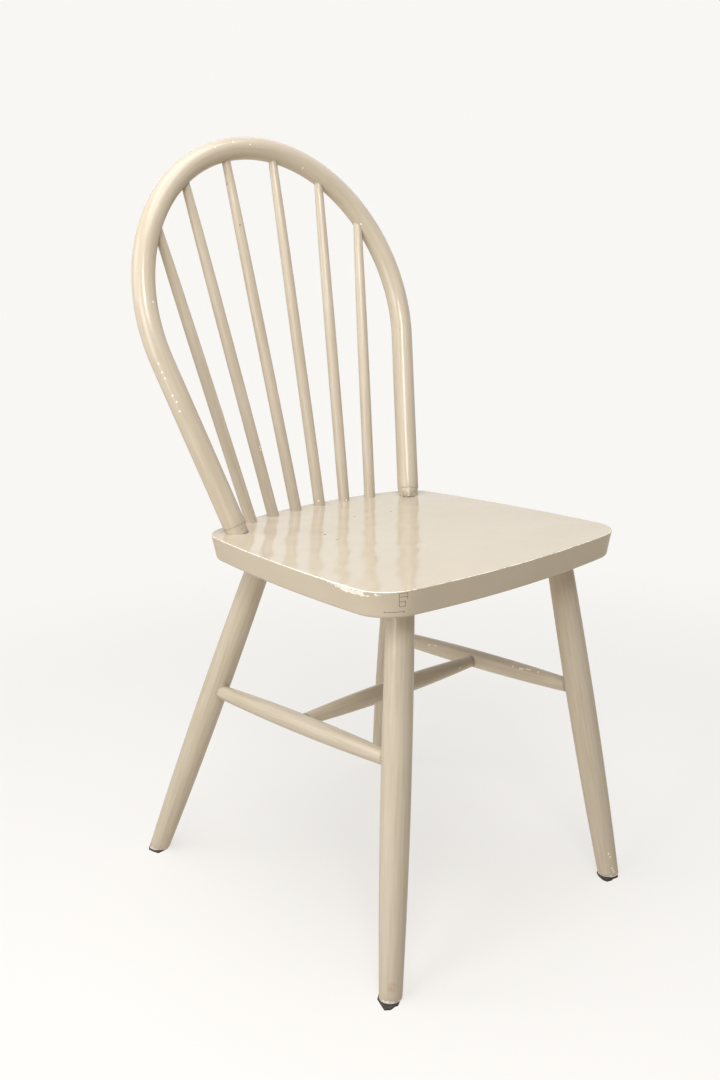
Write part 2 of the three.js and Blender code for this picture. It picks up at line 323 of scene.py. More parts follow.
def paintedWood(name, look):
    material = bpy.data.materials.new(name)
    material.use_nodes = True
    f = Finish(material.node_tree)
    place = f.node("ShaderNodeTexCoord").of("Object")
    brush = f.node("ShaderNodeAttribute", {"attribute_name": "brush"}).of("Vector")
    # wear, and along the seat's top edge a painted highlight as well
    wearAndHighlight = f.node("ShaderNodeAttribute", {"attribute_name": "wearAndHighlight"}).of("Fac")
    # grime and painted shade where parts meet
    grimeAndShade = f.node("ShaderNodeAttribute", {"attribute_name": "grime_and_shade"}).of("Fac")

    streaks = f.noise(f.spread(brush, (1, 1, look["streakRun"])), look["streakScale"], 3)
    patches = f.noise(place, 9, 2)
    peel = f.noise(place, 420, 1)
    shade = patches * (1 - look["streakTone"]) + streaks * look["streakTone"]
    middle, reach = paint["middleTone"], look["toneReach"]
    shade = f.ease(shade, middle - reach, middle + reach)
    colour = f.mix(shade, paint["deep"], paint["coat"])

    # rubbed edges show the pale primer, broken up where the paint still holds; along the seat's top edge
    # this pale line is also a painted highlight
    ragged = f.noise(place, 260, 4, 0.6)
    broad = f.noise(place, 55, 2)
    rubAndHighlight = f.ease(wearAndHighlight * (0.62 + broad * 0.76) + (ragged - 0.5) * 0.9, 0.52, 0.60)

    # small knocks, longer along the brush marks
    knocks = f.cells(f.spread(brush, (1, 1, 0.4)), look["knockScale"])
    chosen = f.parts(knocks.of("Color"))
    knock = f.ease(knocks, *paint["knock"], 1, 0) * (chosen[0] > look["knockFrom"])
    specks = f.cells(place, paint["speckScale"])
    marked = f.parts(specks.of("Color"))
    speck = f.ease(specks, *paint["speck"], 1, 0) * (marked[1] > look["speckFrom"])

    chipsAndHighlight = rubAndHighlight.orElse(knock)
    for spot in look.get("flecks", ()):
        chipsAndHighlight = chipsAndHighlight.orElse(f.dab(place, spot, *paint["fleck"]))
    for spot in look.get("stains", ()):
        soaked = f.dab(place, spot, *paint["stainReach"]) * f.ease(ragged, 0.3, 0.7)
        colour = f.mix(soaked * paint["stainStrength"], colour, paint["stain"])
    for spot in look.get("specks", ()):
        speck = speck.orElse(f.dab(place, spot, look["speckSize"], look["speckSize"] * 1.7))
    # the pale primer shows on chips and wear, and as a painted highlight along the seat's top edge
    colour = f.mix(chipsAndHighlight, colour, paint["primerAndHighlight"])
    # grime and painted shade darken the paint where parts meet, and so do the dark specks
    dirtAndShade = grimeAndShade * f.ease(ragged, 0.38, 0.56) * paint["grimeAndShadeStrength"]
    colour = f.mix(dirtAndShade.orElse(speck * paint["speckStrength"]), colour, paint["grime_and_shade"])
    if "lines" in look:
        colour = f.mix(look["lines"](f, place) * paint["lineStrength"], colour, paint["grime_and_shade"])

    roughness = look.get("gloss", paint["gloss"]) + (streaks - 0.5) * look["strokeGloss"]
    roughness = roughness + (peel - 0.5) * paint["peel"] + chipsAndHighlight * paint["chipDulls"]
    waves = f.dent(f.noise(place, look["waveScale"], 1), look["waveDepth"])
    strokes = f.dent(streaks, look["strokeDepth"], waves)
    skin = f.dent(peel - chipsAndHighlight * 1.2, paint["peelDepth"], strokes)
    shader = f.node("ShaderNodeBsdfPrincipled", {}, {
        "Base Color": colour,
        "Roughness": roughness,
        "Normal": skin,
        "IOR": paint["shine"],
    })
    f.node("ShaderNodeOutputMaterial", {}, {"Surface": shader})
    return material


turnedLook = {
    "streakRun": 0.045,
    "streakTone": 0.7,  # how much of the colour's change follows the brush
    "toneReach": 0.17,  # a wider reach gives a more even colour
    "streakScale": 330,
    "knockScale": 34,
    "knockFrom": 0.93,
    "speckFrom": 0.985,
    "speckSize": 0.0007,
    "waveScale": 26,
    "waveDepth": 0.0008,
    "strokeDepth": 0.00009,
    "strokeGloss": 0.1,
}


seat = {
    "steps": 232,  # points round its outline
    "topRound": 0.0010,
    "bottomRound": 0.003,
    "undercut": 0.977,  # size of the underside beside the top
    "dish": 0.0016,  # how far the middle of the saddle is hollowed
    "rings": 16,
    "rim": 0.985,  # first ring in from the edge
    "wallSteps": (0.0034, 0.005, 0.007, 0.010, 0.015, 0.021),  # levels below the top on the edge
    # the pale line round the top edge is worn paint and a painted highlight on the rounded edge
    "edgeFrom": 0.9,  # share of the way out where the edge begins
    "edgeLevel": 0.0003,  # the rubbed line, worn paint and a painted highlight, below the top
    "edgeWidth": 0.0006,
    "edgeWearAndHighlight": 0.63,
}

# where the top edge is rubbed hardest: middle, reach, how much
rubs = (
    ((-0.187, -0.120, 0.449), 0.030, 0.36),
    ((-0.188, -0.152, 0.448), 0.016, 0.26),
    ((-0.1876, -0.175, 0.4468), 0.015, 0.66),
    ((-0.1845, -0.199, 0.4462), 0.011, 0.50),
    ((-0.1760, -0.2130, 0.4462), 0.008, 0.34),
    ((-0.1875, -0.1778, 0.4457), 0.0050, 0.50),
    ((-0.1872, -0.1882, 0.4450), 0.0050, 0.50),
    ((-0.1857, -0.2002, 0.4445), 0.0050, 0.38),
    ((-0.1784, -0.2159, 0.4458), 0.0045, 0.38),
    ((-0.166, -0.2275, 0.449), 0.012, 0.14),
    ((-0.090, -0.240, 0.4485), 0.012, 0.10),
    ((-0.050, -0.2425, 0.4485), 0.014, 0.18),
    ((0.060, -0.2420, 0.448), 0.010, 0.26),
    ((0.130, -0.236, 0.4485), 0.016, 0.20),
    ((0.183, -0.190, 0.449), 0.02, 0.2),
    ((-0.183, 0.010, 0.449), 0.03, 0.08),
)


def seatEdgeLine():
    # the CAD seat's widest outline, from a hull that closes over the sockets
    shell = copyOf(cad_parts["seat"], "seat_shell")
    workOn(shell)
    bpy.ops.object.mode_set(mode="EDIT")
    bpy.ops.mesh.select_all(action="SELECT")
    bpy.ops.mesh.remove_doubles(threshold=1e-6)
    bpy.ops.mesh.convex_hull()
    bpy.ops.object.mode_set(mode="OBJECT")
    spots = coordinates(shell)
    remove(shell)
    centre = boxCentre("seat")
    turn = np.arctan2(spots[:, 1] - centre.y, spots[:, 0] - centre.x)
    levels = np.unique(np.round(spots[:, 2], 5))
    widest = max(levels, key=lambda z: np.ptp(spots[np.abs(spots[:, 2] - z) < 2 * hair][:, 0]))
    ring = np.abs(spots[:, 2] - widest) < 2 * hair
    order = np.argsort(turn[ring])
    return np.stack([spots[ring][order, 0], spots[ring][order, 1]], axis=1)


def smoothLoop(points, steps):
    # evenly spaced points of a soft curve through a closed loop
    count = len(points)
    fine = []
    for k in range(count):
        a, b, c, d = (points[(k + j) % count] for j in (-1, 0, 1, 2))
        for t in np.linspace(0, 1, 12, endpoint=False):
            fine.append(0.5 * (2 * b + (c - a) * t + (2 * a - 5 * b + 4 * c - d) * t ** 2
                               + (3 * b - a - 3 * c + d) * t ** 3))
    fine = np.array(fine + [fine[0]])
    run = np.concatenate([[0], np.cumsum(np.linalg.norm(np.diff(fine, axis=0), axis=1))])
    wanted = np.linspace(0, run[-1], steps, endpoint=False)
    return np.stack([np.interp(wanted, run, fine[:, k]) for k in (0, 1)], axis=1)


comb = {
    "start": (-0.1545, -0.2308),  # the upright, at the corner over the sitter's right front leg
    "towards": (-0.87, 0.5),  # round the corner, to the sitter's right
    "line": 0.00027,  # half its width
    "behind": -0.195,  # nothing is drawn further back than this
    # (from, to, level) along the edge, and (place, lowest, highest) for the uprights
    "fingers": ((0, 0.0095, 0.4480), (0, 0.0085, 0.4442), (0.0022, 0.0085, 0.4390),
                (0.0022, 0.0085, 0.4336), (0.0030, 0.0235, 0.4280)),
    "uprights": ((0, 0.4415, 0.4495), (0.0022, 0.4336, 0.4400), (0.0085, 0.4336, 0.4480),
                 (0.0232, 0.4272, 0.4295), (0.0034, 0.4262, 0.4290)),
}


def combJoint(f, place):
    # dark hairlines where the front rail's fingers meet the side board
    x, y, z = f.parts(place)
    along = (x - comb["start"][0]) * comb["towards"][0] + (y - comb["start"][1]) * comb["towards"][1]
    waver = (f.noise(place, 300, 2) - 0.5) * 0.0006
    mask = 0
    for start, end, level in comb["fingers"]:
        line = f.ease(abs(z - level + waver), comb["line"], comb["line"] * 2, 1, 0)
        line = line * (along > start) * (along < end)
        mask = line.orElse(mask)
    for spot, bottom, top in comb["uprights"]:
        line = f.ease(abs(along - spot + waver), comb["line"], comb["line"] * 2, 1, 0)
        mask = mask.orElse(line * (z > bottom) * (z < top))
    return mask * (y < comb["behind"])


def makeSeat():
    low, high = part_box("seat")
    centre = boxCentre("seat")
    outline = smoothLoop(seatEdgeLine(), seat["steps"])
    clearSelection()
    bpy.ops.mesh.primitive_circle_add(vertices=seat["steps"], radius=0.2, fill_type="NGON",
                                      location=(centre.x, centre.y, high.z))
    piece = bpy.context.object
    piece.name = "seat_board"
    applyPlace(piece)
    turn = np.arctan2(outline[:, 1] - centre.y, outline[:, 0] - centre.x)
    spots = coordinates(piece)
    bearing = np.arctan2(spots[:, 1] - centre.y, spots[:, 0] - centre.x)
    ranks = np.argsort(np.argsort(bearing))
    ordered = outline[np.argsort(turn)]
    for vertex, rank in zip(piece.data.vertices, ranks):
        vertex.co.xy = ordered[rank]
    # down to the underside, drawn in a little all round
    pick(piece, "FACE", lambda middle, normal: True)
    depth, size = 0, 1
    for level in seat["wallSteps"] + (high.z - low.z,):
        bpy.ops.mesh.extrude_region_move(TRANSFORM_OT_translate={"value": (0, 0, depth - level)})
        wanted = 1 - (1 - seat["undercut"]) * level / (high.z - low.z)
        ratio = wanted / size
        bpy.ops.transform.resize(value=(ratio, ratio, 1), center_override=(centre.x, centre.y, low.z))
        depth, size = level, wanted
    closeUp(piece)
    pick(piece, "EDGE", lambda spot: spot.z > high.z - hair)
    bpy.ops.mesh.bevel(offset=seat["topRound"], segments=6, profile=0.5)
    pick(piece, "EDGE", lambda spot: spot.z < low.z + hair)
    bpy.ops.mesh.bevel(offset=seat["bottomRound"], segments=5, profile=0.5)
    # rings across the top let the middle sink
    pick(piece, "FACE", lambda middle, normal: middle.z > high.z - hair and normal.z > 0.99)
    size = 1.0
    for ring in range(seat["rings"]):
        smaller = seat["rim"] * (1 - ring / seat["rings"])
        bpy.ops.mesh.extrude_region_move(TRANSFORM_OT_translate={"value": (0, 0, 0)})
        ratio = smaller / size
        bpy.ops.transform.resize(value=(ratio, ratio, 1), center_override=(centre.x, centre.y, high.z))
        size = smaller
    bpy.ops.object.mode_set(mode="OBJECT")
    reachX, reachY = (high.x - low.x) / 2, (high.y - low.y) / 2
    for vertex in piece.data.vertices:
        if vertex.co.z > high.z - hair:
            out = math.hypot((vertex.co.x - centre.x) / reachX, (vertex.co.y - centre.y) / reachY)
            vertex.co.z -= seat["dish"] * (0.5 + 0.5 * math.cos(math.pi * min(out / seat["edgeFrom"], 1)))
    closeUp(piece, 30)
    spots = coordinates(piece)
    storeSpots(piece, "brush", spots[:, [2, 0, 1]])
    # how near each point is to the pale line along the top edge, which is worn paint and a painted
    # highlight
    level = high.z - spots[:, 2]
    out = np.hypot((spots[:, 0] - centre.x) / reachX, (spots[:, 1] - centre.y) / reachY)
    outer = out > seat["edgeFrom"]
    edge = np.exp(-((level - seat["edgeLevel"]) / seat["edgeWidth"]) ** 2) * outer * (level > hair)
    wearAndHighlight = edge * seat["edgeWearAndHighlight"]
    for middle, reach, amount in rubs:
        near = np.linalg.norm((spots - np.array(middle)) * (1, 1, 3), axis=1) / reach
        wearAndHighlight = wearAndHighlight + np.exp(-near ** 2) * amount * outer
    storeAmount(piece, "wearAndHighlight", wearAndHighlight)
    storeAmount(piece, "grime_and_shade", np.zeros(len(spots)))
    return piece


seatBoard = makeSeat()
seatSpecks = ((-0.0700, 0.0047, 0.4490), (-0.0706, 0.0039, 0.4490), (-0.0713, 0.0031, 0.4490),
              (0.0110, 0.0476, 0.4487), (0.0598, 0.0343, 0.4486), (-0.0760, -0.0250, 0.4485))
seatLook = dict(turnedLook, streakRun=0.06, streakScale=200, streakTone=0.2, toneReach=0.6,
                knockFrom=0.985, waveScale=20, waveDepth=0.0018, strokeDepth=0.00001,
                strokeGloss=0.02, gloss=0.09, lines=combJoint, specks=seatSpecks, speckSize=0.0012)
keep(seatBoard, "seat", paintedWood("paint_on_seat", seatLook))
print("seat: one board,", len(seatBoard.data.polygons), "faces")


bow = {
    "radius": 0.01375,
    "footX": 0.1375,  # centre of each foot from the middle of the chair
    "crownHeight": 0.205,  # widest level up to the crown, along the slope
    "rake": math.radians(16.8),
    "collarRadius": 0.0129,
    "collarHeight": 0.008,
    "buried": 0.004,  # how far each end goes on into the seat
    "step": 0.0016,  # length of the step from the collar up to the full rod
    # height of the grime and painted shade round each foot at the seat
    "dirtAndShadeHeight": 0.0015,
    "sides": 44,
    "crownSteps": 96,
    "limbSteps": 20,
}


def bowPath():
    # (across, up the slope, lean of the path, radius) from the right foot over the crown to the left
    low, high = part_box("bow")
    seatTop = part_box("seat")[1].z
    height = (high.z - seatTop - bow["radius"]) / math.cos(bow["rake"])
    halfWidth = high.x - bow["radius"]
    widest = height - bow["crownHeight"]
    across = bow["footX"] / halfWidth
    below = widest / bow["crownHeight"]
    tangent = math.acos(1 / math.hypot(across, below)) - math.atan2(below, across)
    joinX = halfWidth * math.cos(tangent)
    joinUp = widest + bow["crownHeight"] * math.sin(tangent)
    limb = Vector((joinX - bow["footX"], joinUp)).normalized()
    length = math.hypot(joinX - bow["footX"], joinUp)
    lean = math.atan2(limb.x, limb.y)
    shoulder = bow["collarHeight"]
    stops = [(-bow["buried"], bow["collarRadius"]), (shoulder, bow["collarRadius"]),
             (shoulder + 0.0007, bow["radius"] - 0.0002), (shoulder + bow["step"], bow["radius"])]
    for step in range(1, bow["limbSteps"]):
        up = shoulder + bow["step"] + (length - shoulder) * step / bow["limbSteps"]
        stops.append((up, bow["radius"]))
    path = [(-bow["footX"] - limb.x * run, limb.y * run, -lean, size) for run, size in stops]
    for step in range(bow["crownSteps"] + 1):
        angle = math.pi - tangent - (math.pi - 2 * tangent) * step / bow["crownSteps"]
        x = halfWidth * math.cos(angle)
        up = widest + bow["crownHeight"] * math.sin(angle)
        heading = math.atan2(halfWidth * math.sin(angle), -bow["crownHeight"] * math.cos(angle))
        path.append((x, up, heading, bow["radius"]))
    path += [(-x, up, math.pi - heading, size) for x, up, heading, size in reversed(path[:len(stops)])]
    footY = high.y - bow["radius"] - height * math.sin(bow["rake"])
    return path, Vector((0, footY, seatTop))


def makeBow():
    path, foot = bowPath()
    clearSelection()
    x, up, lean, radius = path[0]
    bpy.ops.mesh.primitive_circle_add(vertices=bow["sides"], radius=radius, fill_type="NGON",
                                      location=(x, 0, up), rotation=(0, lean, 0))
    piece = bpy.context.object
    piece.name = "bent_bow"
    applyPlace(piece)
    bpy.ops.object.mode_set(mode="EDIT")
    bpy.ops.mesh.select_all(action="SELECT")
    for nextX, nextUp, nextLean, nextRadius in path[1:]:
        bpy.ops.mesh.extrude_region_move(TRANSFORM_OT_translate={"value": (nextX - x, 0, nextUp - up)})
        here = (nextX, 0, nextUp)
        bpy.ops.transform.rotate(value=-(nextLean - lean), orient_axis="Y", center_override=here)
        ratio = nextRadius / radius
        if abs(ratio - 1) > 1e-6:
            bpy.ops.transform.resize(value=(ratio,) * 3, center_override=here)
        x, up, lean, radius = nextX, nextUp, nextLean, nextRadius
    closeUp(piece)
    # brush marks follow the bend: across, across, along
    spots = coordinates(piece)
    line = np.array([(p[0], 0, p[1]) for p in path])
    run = np.concatenate([[0], np.cumsum(np.linalg.norm(np.diff(line, axis=0), axis=1))])
    nearest = np.argmin(np.linalg.norm(spots[:, None] - line[None], axis=2), axis=1)
    headings = np.array([p[2] for p in path])[nearest]
    offset = spots - line[nearest]
    sideways = offset[:, 0] * np.cos(headings) - offset[:, 2] * np.sin(headings)
    storeSpots(piece, "brush", np.stack([sideways, offset[:, 1], run[nearest]], axis=1))
    piece.rotation_euler = (-bow["rake"], 0, 0)
    piece.location = foot
    applyPlace(piece)
    storeAmount(piece, "wearAndHighlight", np.zeros(len(spots)))
    # grime and painted shade round each foot where it enters the seat
    level = coordinates(piece)[:, 2] - foot.z
    storeAmount(piece, "grime_and_shade", np.exp(-(level / bow["dirtAndShadeHeight"]) ** 2))
    return piece


bentBow = makeBow()
bowFlecks = ((-0.1897, 0.1548, 0.7204), (-0.1975, 0.1395, 0.6515), (-0.1953, 0.1368, 0.6418),
             (-0.1933, 0.1343, 0.6346), (-0.1885, 0.1284, 0.6148), (-0.1857, 0.1250, 0.6075),
             (-0.1839, 0.1226, 0.5967), (-0.0571, 0.2085, 0.8959), (-0.0289, 0.2106, 0.9024),
             (-0.0048, 0.2090, 0.9000), (0.0737, 0.2060, 0.8728), (0.1527, 0.1865, 0.8014))
bowLook = dict(turnedLook, streakScale=260, gloss=0.19, flecks=bowFlecks, knockFrom=0.97)
keep(bentBow, "bow", paintedWood("paint_on_bow", bowLook))
print("bow: bent rod,", len(bentBow.data.polygons), "faces")


def nearLevel(spots, level, height):
    # 1 on a level, fading away above and below it
    return np.exp(-((spots[:, 2] - level) / height) ** 2)


def settle(piece, node, finish, grime_and_shade=None, wearAndHighlight=None):
    # the last steps for a turned piece
    closeUp(piece)
    spots = coordinates(piece)
    storeAmount(piece, "grime_and_shade", grime_and_shade(spots) if grime_and_shade else np.zeros(len(spots)))
    storeAmount(piece, "wearAndHighlight", wearAndHighlight(spots) if wearAndHighlight else np.zeros(len(spots)))
    keep(piece, node, finish)


spindle = {
    "radius": 0.0073,
    "topRadius": 0.0052,
    "taperPower": 4,
    "sides": 32,
    "rings": 26,
    "length": 0.4,  # of the one that is turned and copied
    "buried": 0.012,  # left out of the CAD tenon, which is hidden in the seat
    # height of the grime and painted shade round each foot at the seat
    "dirtAndShadeHeight": 0.0013,
}


def turnSpindle():
    steps = []
    for ring in range(spindle["rings"] + 1):
        along = ring / spindle["rings"]
        slimming = (spindle["radius"] - spindle["topRadius"]) * along ** spindle["taperPower"]
        steps.append((along * spindle["length"], spindle["radius"] - slimming))
    return turnRod("spindle_blank", steps, spindle["sides"])


spindleFlecks = ((0.0146, 0.1240, 0.4571), (0.0559, 0.1177, 0.4520), (-0.0646, 0.1360, 0.5370),
                 (-0.0642, 0.1353, 0.5335))
spindleSpecks = ((-0.0402, 0.2121, 0.8531), (-0.0350, 0.1963, 0.8037))
spindleLook = dict(turnedLook, streakScale=420, gloss=0.15, flecks=spindleFlecks, specks=spindleSpecks,
                   knockFrom=0.97)
spindlePaint = paintedWood("paint_on_spindles", spindleLook)
blank = turnSpindle()
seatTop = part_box("seat")[1].z
for node in sorted(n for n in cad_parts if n.startswith("spindle_")):
    number = int(node.split("_")[1])
    piece = copyOf(blank, f"turned_{node}")
    brushAlong(piece, number)
    low, high = axisEnds(node)
    low = low + (high - low).normalized() * spindle["buried"]
    standBetween(piece, low, high, spindle["length"])
    # grime and painted shade round the foot where it enters the seat
    settle(piece, node, spindlePaint,
           grime_and_shade=lambda spots: nearLevel(spots, seatTop, spindle["dirtAndShadeHeight"]))
remove(blank)
print("spindles: six set between seat and bow")


leg = {
    "footRadius": 0.0126,
    "bellyRadius": 0.0163,
    "neckRadius": 0.0144,
    "belly": 0.558,  # share of the length where it is stoutest
    "sides": 48,
    "rings": 40,
    "length": 0.43,
    "runOut": 0.03,  # share of the length left below the foot before it is sawn level
    "into": 0.008,  # how far it goes on into the seat
    "rim": 0.0009,
    # height of the grime and painted shade where the leg meets the seat's underside
    "dirtAndShadeHeight": 0.0014,
    "wornHeight": 0.00115,
    # how far each leg has sunk into its pad
    "sunk": {"front_right": 0.0018, "front_left": 0.0, "rear_right": 0.0016, "rear_left": 0.0005},
}


def turnLeg():
    steps = []
    for ring in range(leg["rings"] + 1):
        along = -leg["runOut"] + (1 + leg["runOut"]) * ring / leg["rings"]
        away = abs(along - leg["belly"])
        if along < leg["belly"]:
            away, slimmest = away / leg["belly"], leg["footRadius"]
        else:
            away, slimmest = away / (1 - leg["belly"]), leg["neckRadius"]
        radius = leg["bellyRadius"] - (leg["bellyRadius"] - slimmest) * away ** 2
        steps.append((along * leg["length"], radius))
    return turnRod("leg_blank", steps, leg["sides"])


def sawLevel(piece, height):
    # cuts the foot parallel to the floor and eases the new rim
    workOn(piece)
    bpy.ops.object.mode_set(mode="EDIT")
    bpy.ops.mesh.select_all(action="SELECT")
    bpy.ops.mesh.bisect(plane_co=(0, 0, height), plane_no=(0, 0, 1), use_fill=True, clear_inner=True)
    pick(piece, "EDGE", lambda spot: spot.z < height + hair)
    bpy.ops.mesh.bevel(offset=leg["rim"], segments=3, profile=0.5)
    bpy.ops.object.mode_set(mode="OBJECT")


legFlecks = ((0.1713, -0.2312, 0.0369), (0.1735, -0.2323, 0.0322), (0.1762, -0.2334, 0.0164),
             (0.1778, -0.2339, 0.0130), (0.1792, -0.2344, 0.0101))
legStains = ((-0.1893, -0.2316, 0.0167), (-0.1880, -0.2320, 0.0210))
legLook = dict(turnedLook, flecks=legFlecks, stains=legStains, knockFrom=0.97)
legPaint = paintedWood("paint_on_legs", legLook)
blank = turnLeg()
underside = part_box("seat")[0].z
for number, corner in enumerate(("front_right", "front_left", "rear_right", "rear_left")):
    node = f"leg_{corner}"
    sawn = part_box(node)[0].z - leg["sunk"][corner]
    foot = boxCentre(f"pad_{corner}")
    top = axisEnds(node)[1]
    axis = (top - foot).normalized()
    # the axis carried down to the floor and up to the seat's underside
    floorPoint = foot - axis * (foot.z / axis.z)
    seatPoint = foot + axis * ((underside + leg["into"] - foot.z) / axis.z)
    piece = copyOf(blank, f"turned_{node}")
    brushAlong(piece, 10 + number)
    standBetween(piece, floorPoint, seatPoint, leg["length"])
    sawLevel(piece, sawn)
    # grime and painted shade where the leg meets the seat's underside, and worn paint round the sawn foot
    settle(piece, node, legPaint,
           grime_and_shade=lambda spots: nearLevel(spots, underside, leg["dirtAndShadeHeight"]) * 0.9,
           wearAndHighlight=lambda spots: nearLevel(spots, sawn, leg["wornHeight"]) * 1.15)
remove(blank)
print("legs: four, sawn level over their pads")


stretcher = {
    "side": {"belly": 0.0115, "end": 0.0084, "into": 0.006},
    "cross": {"belly": 0.0112, "end": 0.0072, "into": 0.003},
    "sides": 36,
    "rings": 30,
    "length": 0.3,
    # length and strength of the grime and painted shade at each end
    "dirtAndShadeLength": 0.003,
    "dirtAndShade": 1.6,
}


def turnStretcher(sizes):
    steps = []
    for ring in range(stretcher["rings"] + 1):
        along = ring / stretcher["rings"]
        away = abs(2 * along - 1) * 1.04
        radius = sizes["belly"] - (sizes["belly"] - sizes["end"]) * min(away, 1) ** 2
        steps.append((along * stretcher["length"], radius))
    return turnRod("stretcher_blank", steps, stretcher["sides"])


def dirtAndShadeAtEnds(low, high, into):
    # grime and painted shade where a stretcher enters its neighbours
    axis = (high - low).normalized()

    def dirtAndShade(spots):
        along = (spots - np.array(low)) @ np.array(axis)
        depth = np.minimum(along, (high - low).length - along)
        return np.exp(-((depth - into) / stretcher["dirtAndShadeLength"]) ** 2) * stretcher["dirtAndShade"]

    return dirtAndShade


stretcherFlecks = ((0.1386, 0.0520, 0.2470), (0.1390, 0.0400, 0.2488), (0.1398, -0.1000, 0.2567),
                   (0.1399, -0.1117, 0.2571), (0.1400, -0.1140, 0.2573), (0.1402, -0.1163, 0.2576),
                   (0.1412, -0.1220, 0.2584), (0.1416, -0.1245, 0.2588), (0.1419, -0.1270, 0.2590),
                   (0.1422, -0.1393, 0.2594), (0.1081, -0.0376, 0.2462))
stretcherLook = dict(turnedLook, knockFrom=0.90, flecks=stretcherFlecks)
stretcherPaint = paintedWood("paint_on_stretchers", stretcherLook)
stretcherNodes = {"side": ("side_stretcher_right", "side_stretcher_left"), "cross": ("cross_stretcher",)}
for kind, nodes in stretcherNodes.items():
    blank = turnStretcher(stretcher[kind])
    for number, node in enumerate(nodes):
        piece = copyOf(blank, f"turned_{node}")
        brushAlong(piece, 20 + number + len(nodes) * 3)
        low, high = axisEnds(node)
        into = stretcher[kind]["into"]
        inward = (high - low).normalized() * into
        standBetween(piece, low + inward, high - inward, stretcher["length"])
        settle(piece, node, stretcherPaint, grime_and_shade=dirtAndShadeAtEnds(low, high, into))
    remove(blank)
print("stretchers: two sides and one across")


felt = {
    "colour": tone("2a1f17"),
    "lint": tone("5c4c3d"),
    "topSize": 0.985,  # size of the top beside the underside
    "round": 0.0004,
}

# each hand-cut outline in millimetres from the middle of its pad, round from +X through +Y
padCuts = {
    "front_right": ((10.5, 2), (10, 8), (3, 12.5), (-6, 13), (-12, 8), (-15.5, -2), (-18.5, -11),
                    (-13, -15), (-6, -14), (-3, -15), (0.5, -13), (5.5, -9.5), (9.5, -5)),
    "front_left": ((11, 2), (9, 10), (0, 12.5), (-8.5, 11.5), (-12.5, 5), (-15, -2), (-15.5, -6),
                   (-14.5, -10), (-8, -12), (-5, -11), (3.5, -12.5), (6, -9), (10, -6)),
    "rear_right": ((12, 4), (7, 12), (-4, 13), (-11, 9), (-14.5, 3.5), (-13, -5), (-10.5, -14),
                   (-2, -13), (7, -10.5), (12, -5)),
    "rear_left": ((12, 1), (9, 10), (-2, 12.5), (-11, 9), (-13, 0), (-10, -10), (1, -12), (9, -9)),
}


def feltFinish():
    material = bpy.data.materials.new("dark_felt")
    material.use_nodes = True
    f = Finish(material.node_tree)
    place = f.node("ShaderNodeTexCoord").of("Object")
    fibres = f.noise(f.spread(place, (1, 1, 2.5)), 1500, 4, 0.7)
    clumps = f.noise(place, 320, 2)
    colour = f.mix(f.ease(fibres * 0.6 + clumps * 0.4, 0.45, 0.7), felt["colour"], felt["lint"])
    fuzz = f.dent(fibres + clumps * 0.6, 0.0004)
    shader = f.node("ShaderNodeBsdfPrincipled", {}, {
        "Base Color": colour,
        "Roughness": 0.9 + (fibres - 0.5) * 0.15,
        "Normal": fuzz,
        "Sheen Weight": 0.3,
    })
    f.node("ShaderNodeOutputMaterial", {}, {"Surface": shader})
    return material


def makePad(corner, finish):
    node = f"pad_{corner}"
    low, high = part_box(node)
    centre = boxCentre(node)
    top = high.z - leg["sunk"][corner]
    cuts = sorted(padCuts[corner], key=lambda cut: math.atan2(cut[1], cut[0]))
    clearSelection()
    bpy.ops.mesh.primitive_circle_add(vertices=len(cuts), radius=0.013, fill_type="NGON",
                                      location=(centre.x, centre.y, low.z))
    piece = bpy.context.object
    piece.name = f"felt_{node}"
    applyPlace(piece)
    corners = sorted(piece.data.vertices, key=lambda v: math.atan2(v.co.y - centre.y, v.co.x - centre.x))
    for vertex, cut in zip(corners, cuts):
        vertex.co.xy = centre.xy + Vector(cut) / 1000
    pick(piece, "FACE", lambda middle, normal: True)
    bpy.ops.mesh.extrude_region_move(TRANSFORM_OT_translate={"value": (0, 0, top - low.z)})
    bpy.ops.transform.resize(value=(felt["topSize"], felt["topSize"], 1),
                             center_override=(centre.x, centre.y, top))
    closeUp(piece)
    pick(piece, "EDGE", lambda spot: spot.z > top - hair)
    bpy.ops.mesh.bevel(offset=felt["round"], segments=3, profile=0.5)
    bpy.ops.object.mode_set(mode="OBJECT")
    closeUp(piece, 40)
    keep(piece, node, finish)


darkFelt = feltFinish()
for corner in padCuts:
    makePad(corner, darkFelt)
print("pads: four hand-cut pieces of felt")


studio = {
    "backdrop": tone("f9f7f4"),  # what the camera sees round the chair
    "wallLight": (0.12, 0.12, 0.12, 1.0),  # light from the wall behind the chair
    "roomLight": (0.02, 0.02, 0.02, 1.0),  # light from the rest of the room
    "wallGleam": (0.97, 0.97, 0.95, 1.0),  # what the gloss shows of the wall
    "roomGleam": (0.08, 0.08, 0.08, 1.0),  # and of the room
    "floorGleam": (0.70, 0.65, 0.57, 1.0),  # the floor as the chair sees it
    "floor": tone("f4f1ec"),
    "floorGlow": 0.68,  # share of its own light, which keeps the shadows pale
    "floorFade": (0.5, 1.5),  # distances over which the floor turns into the backdrop
    "forward": (0.639, 0.769, 0.0),  # towards the bright wall
    "turn": (-0.35, 0.45),  # where the dull room gives way to the wall
    "reach": 14.0,
    "aim": (0, 0, 0.5),
    # each light's place, width, height and power
    "lights": {
        "window_light": ((-1.9, -0.1, 1.9), 1.3, 1.6, 9),
        "low_light": ((-2.2, -0.3, 0.9), 1.0, 1.2, 16),
        "top_light": ((-0.2, -0.2, 2.6), 1.8, 1.8, 41),
        "room_light": ((-1.4, -1.7, 2.3), 1.0, 1.0, 35),
        "back_light": ((-1.7, 1.2, 1.6), 1.0, 1.2, 11),
    },
}


